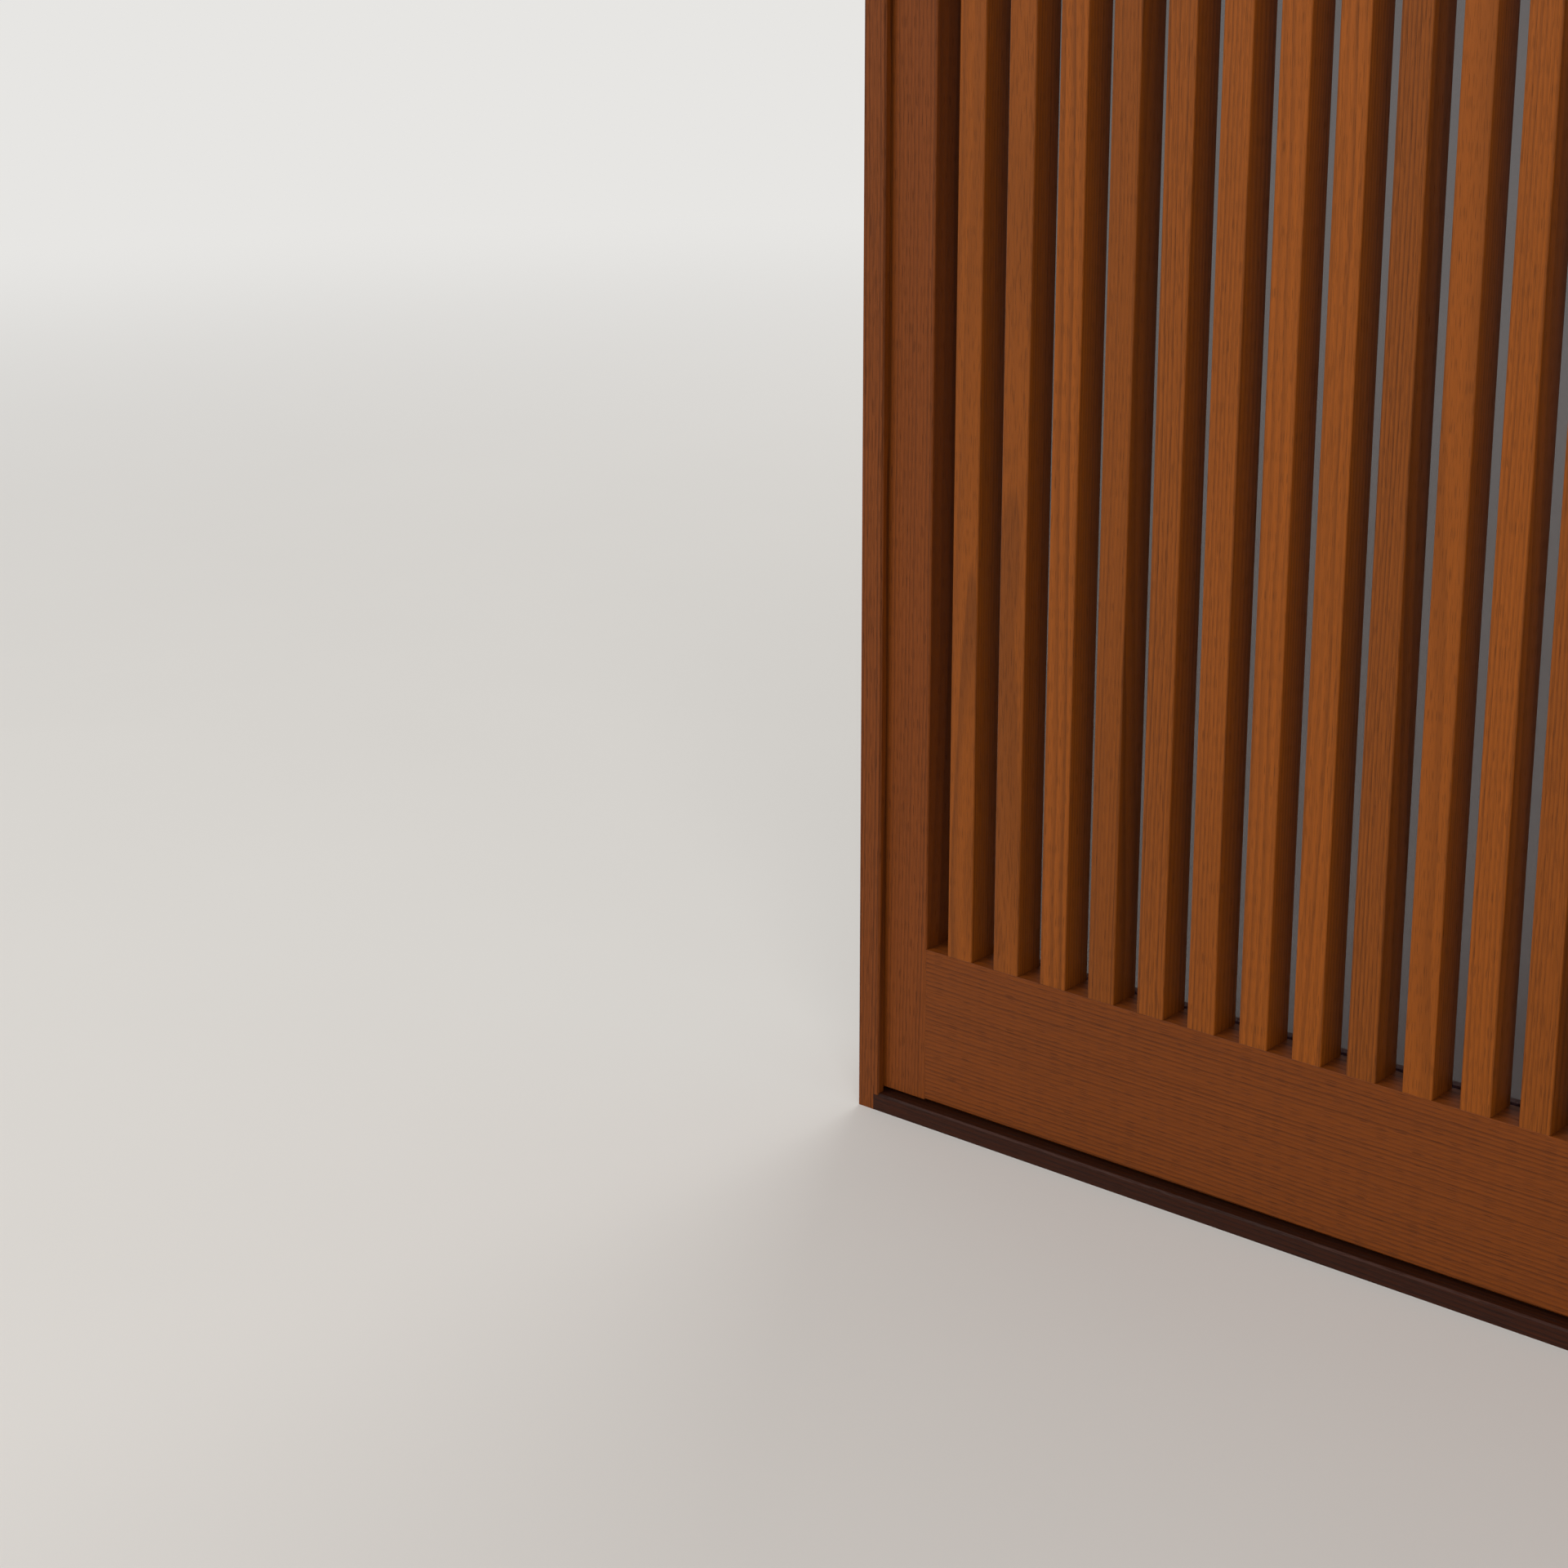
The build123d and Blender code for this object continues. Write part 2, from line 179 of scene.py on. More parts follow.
class Field:
    """A shader socket whose operators add Math nodes, so a value is written as an expression."""

    def __init__(self, nodes, socket):
        self.nodes = nodes
        self.socket = socket

    def math(self, operation, *values):
        return self.nodes.node("ShaderNodeMath", {"operation": operation}, dict(enumerate(values)))

    def __add__(self, other):
        return self.math("ADD", self, other)

    def __sub__(self, other):
        return self.math("SUBTRACT", self, other)

    def __mul__(self, other):
        return self.math("MULTIPLY", self, other)

    def __truediv__(self, other):
        return self.math("DIVIDE", self, other)

    def __rsub__(self, other):
        return self.math("SUBTRACT", other, self)

    def __rtruediv__(self, other):
        return self.math("DIVIDE", other, self)

    __radd__ = __add__
    __rmul__ = __mul__

    def part(self):
        """The value's part after the decimal point."""
        return self.math("FRACT", self)

    def whole(self):
        """The value rounded down."""
        return self.math("FLOOR", self)

    def rise(self, low, high, start=0.0, end=1.0):
        """A smooth step from start at the low value to end at the high value."""
        inputs = {"Value": self, "From Min": low, "From Max": high, "To Min": start, "To Max": end}
        return self.nodes.node("ShaderNodeMapRange", {"interpolation_type": "SMOOTHSTEP"}, inputs)


class Nodes:
    """A node tree of a material or a world, whose nodes all come from one method."""

    def __init__(self, tree):
        self.tree = tree

    def node(self, kind, settings=None, inputs=None, output=0):
        """Adds a node, applies its settings, fills its sockets and returns one of its outputs."""
        made = self.tree.nodes.new(kind)
        for name, value in (settings or {}).items():
            setattr(made, name, value)
        for name, value in (inputs or {}).items():
            self.fill(made.inputs[name], value)
        return Field(self, made.outputs[output])

    def fill(self, socket, value):
        """Links a field to a socket, or sets the socket's own value."""
        if isinstance(value, Field):
            self.tree.links.new(value.socket, socket)
        else:
            socket.default_value = value

    def in_view(self):
        """1 for what the camera, gloss and glass see, and 0 for the light that falls on things."""
        rays = ("Is Camera Ray", "Is Glossy Ray", "Is Transmission Ray")
        straight, mirrored, through = (self.node("ShaderNodeLightPath", output=ray) for ray in rays)
        return straight.math("MAXIMUM", straight, mirrored.math("MAXIMUM", mirrored, through))


class Finish(Nodes):
    """A material in the making."""

    def __init__(self, name):
        self.material = bpy.data.materials.new(name)
        self.material.use_nodes = True
        super().__init__(self.material.node_tree)
        self.surface = self.tree.nodes["Principled BSDF"]

    def coat(self, **inputs):
        """Fills sockets of the surface shader, by their names with underscores for spaces."""
        for name, value in inputs.items():
            self.fill(self.surface.inputs[name.replace("_", " ")], value)
        return self.material

    def place(self):
        """Object coordinates, in metres."""
        return self.node("ShaderNodeTexCoord", output="Object")

    def vector(self, operation, *values, output=0):
        """Vector maths on the values. The output is named where it is a plain number."""
        inputs = dict(enumerate(values))
        return self.node("ShaderNodeVectorMath", {"operation": operation}, inputs, output)

    def scaled(self, vector, factors):
        """A vector with each part multiplied by its own factor."""
        return self.vector("MULTIPLY", vector, factors)

    def noise(self, vector, scale=1.0, detail=2.0, roughness=0.5):
        """Soft noise from 0 to 1."""
        inputs = {"Vector": vector, "Scale": scale, "Detail": detail, "Roughness": roughness}
        return self.node("ShaderNodeTexNoise", None, inputs)

    def chance(self, value, output="Value"):
        """A number from 0 to 1 that is different for each value, or a colour made of three."""
        settings = {"noise_dimensions": "1D"}
        return self.node("ShaderNodeTexWhiteNoise", settings, {"W": value}, output)

    def mix(self, factor, first, second):
        """The first colour where the factor is 0 and the second where it is 1."""
        inputs = {0: factor, 6: first, 7: second}
        return self.node("ShaderNodeMix", {"data_type": "RGBA"}, inputs, output=2)

    def bump(self, height, depth, normal=None):
        """A normal tilted by a height from 0 to 1 that stands for a depth in metres."""
        inputs = {"Height": height, "Distance": depth, "Strength": 1.0}
        if normal is not None:
            inputs["Normal"] = normal
        return self.node("ShaderNodeBump", None, inputs)


def rgba(tone, factor=1.0):
    """A colour with full cover, lightened or darkened by a factor."""
    return (*(min(channel * factor, 1.0) for channel in tone), 1.0)


# Finishes


def stained_wood(name, tone, level=False, per_piece=False, shine=0.36, worn=0.0):
    """Stained solid wood whose grain runs along Z, or along X for a level board.

    Growth rings are the distance from a bent pith line, divided by the ring width. Each ring
    darkens slowly and ends sharply. Fibres and pores are noises drawn out along the grain. With
    per_piece, the attribute "board" takes each piece from another place in the log and changes its
    tone a little.
    """
    # How finely each pattern varies across and along the grain
    bend_grain, waver_grain, cloud_grain = (4.0, 4.0, 0.8), (60.0, 60.0, 7.0), (9.0, 9.0, 2.5)
    fibre_grain, pore_grain = (950.0, 950.0, 10.0), (2300.0, 2300.0, 70.0)
    scuff_grain = (420.0, 420.0, 14.0)
    # The pith's place, how far it bends, how far the rings waver, and the size of the log
    pith, bend_reach, waver_reach, log = (-0.19, 0.11, 0.0), 0.030, 0.0016, (0.5, 0.35, 4.0)
    early_tone, late_tone, pore_tone = rgba(tone, 1.16), rgba(tone, 0.50), rgba(tone, 0.22)
    rubbed_tone, scuffed_tone = rgba(tone, 1.9), rgba(tone, 2.6)

    wood = bpy.context.scene.screen_wood
    finish = Finish(name)
    place = finish.place()
    if level:
        turn = {"Rotation": (0.0, math.radians(90), 0.0)}
        place = finish.node("ShaderNodeMapping", None, {"Vector": place, **turn})
    board_tone = 1.0
    if per_piece:
        board = finish.node("ShaderNodeAttribute", {"attribute_name": "board"}, output="Fac")
        offset = finish.scaled(finish.chance(board, "Color"), log)
        place = finish.vector("ADD", place, offset)
        board_tone = 0.86 + finish.chance(board + 7.3) * 0.28

    bend = finish.noise(finish.scaled(place, bend_grain), detail=2.0)
    waver = finish.noise(finish.scaled(place, waver_grain), detail=1.0)
    section = finish.scaled(finish.vector("SUBTRACT", place, pith), (1.0, 1.0, 0.0))
    radius = finish.vector("LENGTH", section, output="Value")
    rings = (radius + bend * bend_reach + waver * waver_reach) / wood.ring_width
    season = rings.part()
    late = season.rise(0.25, 0.9) * season.rise(0.92, 1.0, 1.0, 0.0)
    late = late * (0.35 + finish.chance(rings.whole()) * 0.65)

    fibre = finish.noise(finish.scaled(place, fibre_grain), detail=2.0)
    pores = finish.noise(finish.scaled(place, pore_grain), detail=0.0).rise(0.60, 0.72)
    cloud = finish.noise(finish.scaled(place, cloud_grain), detail=3.0)

    lightness = (0.74 + fibre * 0.34 + cloud * 0.24) * board_tone
    base = finish.mix(late * 0.72, early_tone, late_tone)
    base = finish.mix(pores * 0.45, base, pore_tone)
    scale = {0: base, "Scale": lightness}
    shaded = finish.node("ShaderNodeVectorMath", {"operation": "SCALE"}, scale)

    soft = finish.node("ShaderNodeBevel", {"samples": 4}, {"Radius": 0.0009})
    facet = finish.node("ShaderNodeNewGeometry", output="True Normal")
    same = finish.vector("DOT_PRODUCT", soft, facet, output="Value")
    rubbed = (1.0 - same).rise(0.01, 0.16) * cloud.rise(0.35, 0.65) * wood.wear
    shaded = finish.mix(rubbed, shaded, rubbed_tone)
    roughness = shine + fibre * 0.12 + pores * 0.2 + late * 0.05 + cloud * 0.08

    if worn > 0.0:
        scuff = finish.noise(finish.scaled(place, scuff_grain), detail=3.0).rise(0.54, 0.74)
        scuff = scuff * cloud.rise(0.42, 0.62) * worn
        shaded = finish.mix(scuff, shaded, scuffed_tone)
        roughness = roughness + scuff * 0.25

    height = 0.5 + fibre * 0.22 - late * 0.12 - pores * 0.5
    normal = finish.bump(height, depth=0.00016, normal=soft)
    return finish.coat(
        Base_Color=shaded, Roughness=roughness, Normal=normal, Specular_IOR_Level=wood.gloss
    )


def smoked_glass():
    """Dark see-through glass, with faint smears from cleaning and a little dust."""
    dust_tone, smear_cover = (0.16, 0.15, 0.13, 1.0), 0.03
    hardware = bpy.context.scene.screen_hardware
    finish = Finish("smoked_glass")
    place = finish.place()
    smear = finish.noise(finish.scaled(place, (5.0, 5.0, 16.0)), detail=4.0, roughness=0.65)
    dust = finish.noise(place, scale=900.0, detail=1.0).rise(0.66, 0.78)
    tint = finish.mix(dust * 0.25, rgba(hardware.glass_colour), dust_tone)
    roughness = 0.03 + smear.rise(0.42, 0.8) * 0.12 + dust * 0.25
    cover = hardware.glass_cover + (smear - 0.5) * smear_cover
    finish.material.surface_render_method = "BLENDED"
    return finish.coat(Base_Color=tint, Roughness=roughness, Alpha=cover, IOR=1.52)


def brass():
    """Drawn brass with a dull patina, and a bright rubbed line on top where the wheels run."""
    run_depth, run_blend = 0.0005, 0.0004
    hardware = bpy.context.scene.screen_hardware
    finish = Finish("drawn_brass")
    place = finish.place()
    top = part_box("front_track")[1].z
    height = finish.node("ShaderNodeSeparateXYZ", None, {"Vector": place}, "Z")
    run = height.rise(top - run_depth, top - run_depth + run_blend)
    drawn = finish.noise(finish.scaled(place, (6.0, 4200.0, 4200.0)), detail=2.0)
    stain = finish.noise(finish.scaled(place, (28.0, 60.0, 60.0)), detail=4.0, roughness=0.6)
    dull = stain.rise(0.38, 0.66) * (1.0 - run * 0.75)
    base = finish.mix(dull * 0.7, rgba(hardware.brass_colour), rgba(hardware.brass_colour, 0.34))
    roughness = 0.20 + drawn * 0.16 + dull * 0.26 - run * 0.06
    normal = finish.bump(drawn, depth=0.00004)
    return finish.coat(Base_Color=base, Metallic=1.0, Roughness=roughness, Normal=normal)


def zinc_plate():
    """Zinc plated sheet: small crystals, a brushed direction and dull spots."""
    hardware = bpy.context.scene.screen_hardware
    finish = Finish("zinc_plate")
    place = finish.place()
    crystal = finish.node("ShaderNodeTexVoronoi", None, {"Vector": place, "Scale": 420.0}, "Color")
    grain = finish.node("ShaderNodeSeparateColor", None, {"Color": crystal}, "Red")
    rolled = finish.noise(finish.scaled(place, (30.0, 2600.0, 2600.0)), detail=2.0)
    spots = finish.noise(place, scale=130.0, detail=4.0, roughness=0.6).rise(0.52, 0.72)
    dim, bright, dull = (rgba(hardware.zinc_colour, factor) for factor in (0.84, 1.08, 0.42))
    base = finish.mix(grain * 0.5, dim, bright)
    base = finish.mix(spots * 0.5, base, dull)
    roughness = 0.24 + rolled * 0.14 + grain * 0.08 + spots * 0.3
    normal = finish.bump(rolled, depth=0.00003)
    return finish.coat(Base_Color=base, Metallic=1.0, Roughness=roughness, Normal=normal)


def plated_steel():
    """Yellow passivated steel of screws and pins, finely gritted and uneven in tone."""
    hardware = bpy.context.scene.screen_hardware
    finish = Finish("plated_steel")
    place = finish.place()
    tint = finish.noise(place, scale=240.0, detail=3.0)
    grit = finish.noise(place, scale=2400.0, detail=2.0)
    bright, dim = rgba(hardware.screw_colour, 1.15), rgba(hardware.screw_colour, 0.62)
    base = finish.mix(tint.rise(0.3, 0.7), bright, dim)
    roughness = 0.26 + grit * 0.18 + tint * 0.10
    normal = finish.bump(grit, depth=0.00003)
    return finish.coat(Base_Color=base, Metallic=1.0, Roughness=roughness, Normal=normal)


def wheel_nylon():
    """Off-white nylon with turning marks and grey dirt pressed into the tread.

    The attribute "from_pin" is the distance from the middle of the wheel's pin. The tread's dirt
    fades in just inside the tread and out again on the flanges.
    """
    dirt_start, dirt_end = (0.0112, 0.0119), (0.0126, 0.0140)
    dirt_tone = (0.085, 0.075, 0.062, 1.0)
    hardware = bpy.context.scene.screen_hardware
    finish = Finish("wheel_nylon")
    place = finish.place()
    marks = finish.node("ShaderNodeAttribute", {"attribute_name": "from_pin"}, output="Fac")
    outwards = finish.node("ShaderNodeCombineXYZ", None, {"X": marks * 5200.0})
    rings = finish.noise(outwards, detail=1.0)
    dirt = finish.noise(place, scale=420.0, detail=4.0, roughness=0.65)
    tread = marks.rise(*dirt_start) * marks.rise(*dirt_end, 1.0, 0.0)
    grime = (dirt.rise(0.50, 0.72) * 0.20 + tread * 0.55).rise(0.0, 0.9)
    base = finish.mix(grime, rgba(hardware.wheel_colour), dirt_tone)
    roughness = 0.34 + rings * 0.12 + grime * 0.25
    normal = finish.bump(rings, depth=0.00003)
    return finish.coat(Base_Color=base, Roughness=roughness, Normal=normal)


# Shapes


def tube(rings):
    """A closed skin on rings of points, an array of rings by points by 3.

    Point (i, j) joins (i, j + 1), round the ring, and (i + 1, j). A flat face closes each end.
    """
    rows, columns = rings.shape[:2]
    here = np.arange(rows * columns).reshape(rows, columns)
    beside = np.roll(here, -1, axis=1)
    quads = np.stack([here[:-1], beside[:-1], beside[1:], here[1:]], axis=-1).reshape(-1, 4)
    return rings.reshape(-1, 3), quads.tolist() + [here[0, ::-1].tolist(), here[-1].tolist()]


def ring_surface(rings):
    """A closed skin like a tyre: point (i, j) joins its neighbours, and both ways wrap round."""
    rows, columns = rings.shape[:2]
    here = np.arange(rows * columns).reshape(rows, columns)
    beside = np.roll(here, -1, axis=1)
    after = np.roll(here, -1, axis=0)
    quads = np.stack([here, beside, np.roll(beside, -1, axis=0), after], axis=-1).reshape(-1, 4)
    return rings.reshape(-1, 3), quads.tolist()


def eased_rectangle(width, depth, radii, steps=5):
    """A rectangle in X and Y with quarter circles of the given radii on its corners.

    The corners follow each other counterclockwise from the front left one, which is at -X and -Y.
    """
    signs = np.array([(-1, -1), (1, -1), (1, 1), (-1, 1)])
    radii = np.asarray(radii)
    centres = signs * (np.array([width, depth]) / 2 - radii[:, None])
    starts = np.radians([180, 270, 0, 90])
    turn = starts[:, None] + np.linspace(0, math.pi / 2, steps)
    arc = np.stack([np.cos(turn), np.sin(turn)], axis=-1) * radii[:, None, None]
    return (centres[:, None, :] + arc).reshape(-1, 2)


def upright_bar(outline, centre, heights):
    """A closed bar: an outline in X and Y, carried up the Z axis to each height, about a centre."""
    heights = np.asarray(heights)
    rings = np.empty((len(heights), len(outline), 3))
    rings[..., :2] = outline + np.asarray(centre)
    rings[..., 2] = heights[:, None]
    return tube(rings)


def rounded_corners(corners, radius, steps=4):
    """A closed outline with each corner cut back by a radius and bridged by a parabola.

    The bridge is (1-t)^2 A + 2t(1-t) C + t^2 B, with C the corner and A and B the points that the
    cut leaves before and after it. A cut takes no more than a set share of a side.
    """
    most = 0.45
    corners = np.asarray(corners, float)
    before = np.roll(corners, 1, axis=0) - corners
    after = np.roll(corners, -1, axis=0) - corners
    reach_before = np.linalg.norm(before, axis=1, keepdims=True)
    reach_after = np.linalg.norm(after, axis=1, keepdims=True)
    start = corners + before / reach_before * np.minimum(radius, reach_before * most)
    end = corners + after / reach_after * np.minimum(radius, reach_after * most)
    t = np.linspace(0, 1, steps)[None, :, None]
    curve = (1 - t) ** 2 * start[:, None] + 2 * t * (1 - t) * corners[:, None] + t**2 * end[:, None]
    return curve.reshape(-1, 2)


def turned_wheel(centre, radius, width, steps=96):
    """A wheel about the Y axis: a (radius, offset) outline turned through a full circle.

    Between hub and rim the web is pressed in, and it comes back out in six ribs: its offset is
    multiplied by 1 + rib_height * cos(3a)^8, where a is the angle. The ribs start a margin away
    from hub and rim, and rise over a ramp.
    """
    rib_height, margin, ramp, slope, face = 0.35, 0.0008, 0.0006, 0.0004, 0.001
    hardware = bpy.context.scene.screen_hardware
    half, groove = width / 2, hardware.groove_width / 2
    tread_radius = radius - hardware.flange_height
    hub, rim = hardware.hub_radius, tread_radius - hardware.rim_thickness
    web = half - hardware.web_recess
    boss = [(hardware.bore_radius, half), (hub, half), (hub + slope, web)]
    near = [*boss, (rim - slope, web), (rim, half), (radius, half), (tread_radius, groove)]
    far = [(r, -y) for r, y in near][::-1]
    outline = rounded_corners(near + far, hardware.wheel_rounding)
    turn = np.linspace(0, 2 * math.pi, steps, endpoint=False)[:, None]
    distance, offset = outline[:, 0], outline[:, 1]
    past_hub = np.clip((distance - hub - margin) / ramp, 0, 1)
    before_rim = np.clip((rim - margin - distance) / ramp, 0, 1)
    pressed_in = np.abs(offset) < half - face
    rib = rib_height * np.cos(3 * turn) ** 8 * past_hub * before_rim * pressed_in
    rings = np.empty((len(turn), len(outline), 3))
    rings[..., 0] = centre.x + distance * np.cos(turn)
    rings[..., 1] = centre.y + offset * (1 + rib)
    rings[..., 2] = centre.z + distance * np.sin(turn)
    return ring_surface(rings)


def threaded_screw(place, head_radius, shank_radius, screw_length, crown, recess_depth, steps=48):
    """A screw along +Z of its place, with its head's rim at height 0.

    The head is a dome, -crown * (1 - (r/R)^2), sunk by a cross: the product of a clamped slope of
    the smaller and one of the larger of |x| and |y|. Under its cone the thread's radius is
    root + depth * |2 * part(height / pitch - angle / full turn) - 1|, and the tip closes.
    """
    rings_per_thread = 6
    hardware = bpy.context.scene.screen_hardware
    turn = np.linspace(0, 2 * math.pi, steps, endpoint=False)[None, :]

    arm_width, arm_reach, arm_slope = 0.13 * head_radius, 0.62 * head_radius, 0.2 * head_radius
    share = np.linspace(0, 1, 16)[:, None] ** 0.8
    x, y = head_radius * share * np.cos(turn), head_radius * share * np.sin(turn)
    near, far = np.minimum(abs(x), abs(y)), np.maximum(abs(x), abs(y))
    cross = np.clip(1.6 - near / arm_width, 0, 1) * np.clip((arm_reach - far) / arm_slope, 0, 1)
    head_radii = head_radius * share + 0 * turn
    head_heights = recess_depth * cross - crown * (1 - share**2)

    neck = head_radius - shank_radius
    tip = screw_length - 2 * shank_radius
    rows = round((tip - neck) / hardware.thread_pitch * rings_per_thread)
    heights = np.linspace(neck, tip, rows)[:, None]
    phase = heights / hardware.thread_pitch - turn / (2 * math.pi)
    crest = np.abs(2 * (phase % 1.0) - 1)
    shank_radii = shank_radius - hardware.thread_depth * (1 - crest)

    taper = np.linspace(0.8, 0, 5)[:, None]
    tip_radii = (shank_radius - hardware.thread_depth) * taper + 0 * turn
    tip_heights = tip + (screw_length - tip) * (1 - taper) + 0 * turn

    radii = np.concatenate([head_radii, shank_radii, tip_radii])
    levels = np.concatenate([head_heights, heights + 0 * turn, tip_heights])
    rings = np.stack([radii * np.cos(turn), radii * np.sin(turn), levels], axis=-1)
    placed = rings @ np.array(place.to_3x3()).T + np.array(place.translation)
    return tube(placed)


def make_piece(name, skins, body, material, replaced=(), marks=None):
    """One object from closed skins: it rides on a body and may stand for nodes of the model.

    Points that lie together are merged, so poles close, and faces are turned outwards. Marks are
    attributes, each with a function of the points' places that gives its values.
    """
    starts = np.cumsum([0] + [len(points) for points, _ in skins])
    points = np.concatenate([points for points, _ in skins])
    faces = []
    for (_, skin_faces), start in zip(skins, starts):
        faces += [[corner + start for corner in face] for face in skin_faces]
    mesh = bpy.data.meshes.new(name)
    mesh.from_pydata(points, [], faces)
    shape = bmesh.new()
    shape.from_mesh(mesh)
    bmesh.ops.remove_doubles(shape, verts=shape.verts, dist=1e-6)
    bmesh.ops.dissolve_degenerate(shape, edges=shape.edges, dist=1e-7)
    bmesh.ops.recalc_face_normals(shape, faces=shape.faces)
    shape.to_mesh(mesh)
    shape.free()
    mesh.shade_smooth()
    mesh.set_sharp_from_angle(angle=math.radians(34))
    for mark, worked_out in (marks or {}).items():
        places = np.empty(len(mesh.vertices) * 3, np.float32)
        mesh.vertices.foreach_get("co", places)
        values = np.broadcast_to(worked_out(places.reshape(-1, 3)), len(mesh.vertices))
        attribute = mesh.attributes.new(mark, "FLOAT", "POINT")
        attribute.data.foreach_set("value", values.astype(np.float32))
    mesh.materials.append(material)
    piece = bpy.data.objects.new(name, mesh)
    bpy.context.scene.collection.objects.link(piece)
    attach(piece, body)
    if replaced:
        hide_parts(*replaced)


def dress(nodes, material):
    """Gives nodes of the model a finish."""
    for name in nodes:
        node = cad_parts[name]
        node.data.materials.clear()
        node.data.materials.append(material)


def middle(node):
    """The middle of a node's box."""
    low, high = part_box(node)
    return (low + high) / 2


# Operators


class SCREEN_OT_slats(bpy.types.Operator):
    """Plane the upright slats with eased arrises and stain them"""

    bl_idname = "screen.slats"
    bl_label = "Slats"

    def execute(self, context):
        tenon_width, tenon_depth, tenon_radii = 0.50, 0.53, (0.0005,) * 4
        first_seed = 0.37
        wood = context.scene.screen_wood
        stain = stained_wood("slat_stain", wood.slat_colour, per_piece=True, shine=0.33)
        radii = (wood.front_arris, wood.front_arris, wood.rear_arris, wood.rear_arris)
        slats = sorted(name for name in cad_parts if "_slat_" in name)
        if not slats:
            raise RuntimeError("the model has no slats")
        for count, name in enumerate(slats):
            leaf = name.split("_")[0]
            low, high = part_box(name)
            foot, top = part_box(f"{leaf}_bottom_rail")[1].z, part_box(f"{leaf}_top_rail")[0].z
            centre = ((low.x + high.x) / 2, (low.y + high.y) / 2)
            width, depth = high.x - low.x, high.y - low.y
            slat = eased_rectangle(width, depth, radii)
            tenon = eased_rectangle(width * tenon_width, depth * tenon_depth, tenon_radii, steps=3)
            body = upright_bar(slat, centre, np.linspace(foot, top, num=9))
            lower = upright_bar(tenon, centre, (low.z, foot))
            upper = upright_bar(tenon, centre, (top, high.z))
            skins = [body, lower, upper]
            marks = {"board": lambda places, seed=first_seed + count: seed}
            make_piece(f"{name}_planed", skins, f"{leaf}_leaf", stain, [name], marks)
        return {"FINISHED"}


class SCREEN_OT_leaf_frames(bpy.types.Operator):
    """Stain the stiles and rails of both leaves"""

    bl_idname = "screen.leaf_frames"
    bl_label = "Stiles and rails"

    def execute(self, context):
        tone = context.scene.screen_wood.leaf_colour
        stiles = [f"{leaf}_{stile}_stile" for leaf in LEAVES for stile in ("outer", "meeting")]
        rails = [f"{leaf}_{rail}_rail" for leaf in LEAVES for rail in ("bottom", "top")]
        dress(stiles, stained_wood("stile_stain", tone))
        dress(rails, stained_wood("rail_stain", tone, level=True))
        return {"FINISHED"}


class SCREEN_OT_frame_boards(bpy.types.Operator):
    """Stain the jambs, the head with its guide strips, and the sill, whose dark stain is partly
    painted shade beneath the leaves
    """

    bl_idname = "screen.frame_boards"
    bl_label = "Frame boards"

    def execute(self, context):
        wood = context.scene.screen_wood
        strips = [f"{place}_guide_strip" for place in ("front", "middle", "rear")]
        jamb_stain = stained_wood("jamb_stain", wood.frame_colour, shine=0.40)
        head_stain = stained_wood("head_stain", wood.frame_colour, level=True, shine=0.40)
        # The sill's dark stain is partly painted shade: it stands for the shadow in the gap beneath
        # the leaves
        sill_stain = stained_wood("sill_stain", wood.sill_colour_and_shade, level=True, shine=0.42, worn=0.5)
        dress([f"{side}_jamb" for side in SIDES], jamb_stain)
        dress(["head", *strips], head_stain)
        dress(["sill"], sill_stain)
        return {"FINISHED"}


class SCREEN_OT_panes(bpy.types.Operator):
    """Glaze both leaves with smoked glass"""

    bl_idname = "screen.panes"
    bl_label = "Glass panes"

    def execute(self, context):
        dress([f"{leaf}_pane" for leaf in LEAVES], smoked_glass())
        return {"FINISHED"}


class SCREEN_OT_tracks(bpy.types.Operator):
    """Finish the two brass tracks"""

    bl_idname = "screen.tracks"
    bl_label = "Tracks"

    def execute(self, context):
        dress([f"{leaf}_track" for leaf in LEAVES], brass())
        return {"FINISHED"}


class SCREEN_OT_sheaves(bpy.types.Operator):
    """Make the ribbed wheels, finish their cases and pins, and screw the cases on"""

    bl_idname = "screen.sheaves"
    bl_label = "Wheels and cases"

    def execute(self, context):
        steel, nylon = plated_steel(), wheel_nylon()
        dress([f"{leaf}_{side}_sheave_case" for leaf in LEAVES for side in SIDES], zinc_plate())
        dress([f"{leaf}_wheel_pins" for leaf in LEAVES], steel)
        for leaf in LEAVES:
            screws = []
            for side in SIDES:
                wheel = f"{leaf}_{side}_wheel"
                self.make_wheel(wheel, nylon)
                screws += self.case_screws(context, f"{leaf}_{side}_sheave_case", middle(wheel).y)
            make_piece(f"{leaf}_sheave_screws", screws, f"{leaf}_leaf", steel)
        return {"FINISHED"}

    def make_wheel(self, wheel, nylon):
        """A ribbed wheel in place of the plain one, each point marked with how far the pin is."""
        low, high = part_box(wheel)
        centre = middle(wheel)
        skin = turned_wheel(centre, (high.z - low.z) / 2, high.y - low.y)

        def from_pin(places):
            return np.hypot(places[:, 0] - centre.x, places[:, 2] - centre.z)

        marks = {"from_pin": from_pin}
        make_piece(f"{wheel}_ribbed", [skin], wheel, nylon, [wheel], marks)

    def case_screws(self, context, case, y):
        """The two round-headed screws through a case's ears, their crosses at different angles."""
        hardware = context.scene.screen_hardware
        sizes = (hardware.case_screw_head, hardware.case_screw_shank, hardware.case_screw_length)
        crown = hardware.round_crown
        low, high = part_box(case)
        screws = []
        for x in (low.x + hardware.case_screw_inset, high.x - hardware.case_screw_inset):
            cross_angle = 40 * x
            place = Matrix.Translation((x, y, low.z)) @ Matrix.Rotation(cross_angle, 4, "Z")
            screws.append(threaded_screw(place, *sizes, crown, crown * hardware.round_recess))
        return screws


